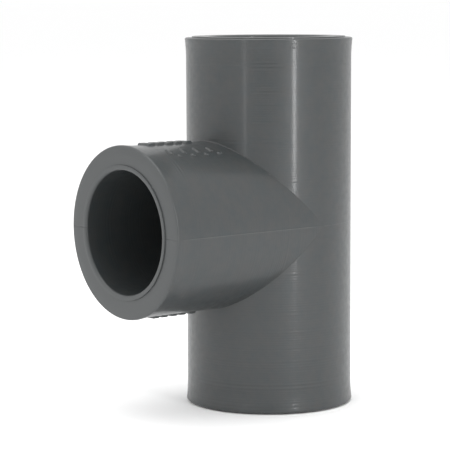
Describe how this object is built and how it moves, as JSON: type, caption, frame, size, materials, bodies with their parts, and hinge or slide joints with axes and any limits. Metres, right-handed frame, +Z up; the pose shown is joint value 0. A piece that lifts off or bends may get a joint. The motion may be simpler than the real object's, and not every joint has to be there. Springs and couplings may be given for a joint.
{
  "type": "pvc tee fitting",
  "caption": "Grey PVC slip tee: a straight run with a plain push-in solvent socket at each end and a side branch socket at right angles.",
  "frame": {"origin": "on the base plane, in the middle of the footprint's bounding box; the run's axis stands 8.99 mm behind it", "axes": "+Z up along the run's axis; the branch leaves towards -Y; +X across"},
  "size_m": [0.0302, 0.0482, 0.0663],
  "materials": {
    "grey_pvc": "satin moulded, fine turned tool marks on the outside"
  },
  "bodies": {
    "root": {"tee_body": "grey_pvc"}
  },
  "joints": []
}
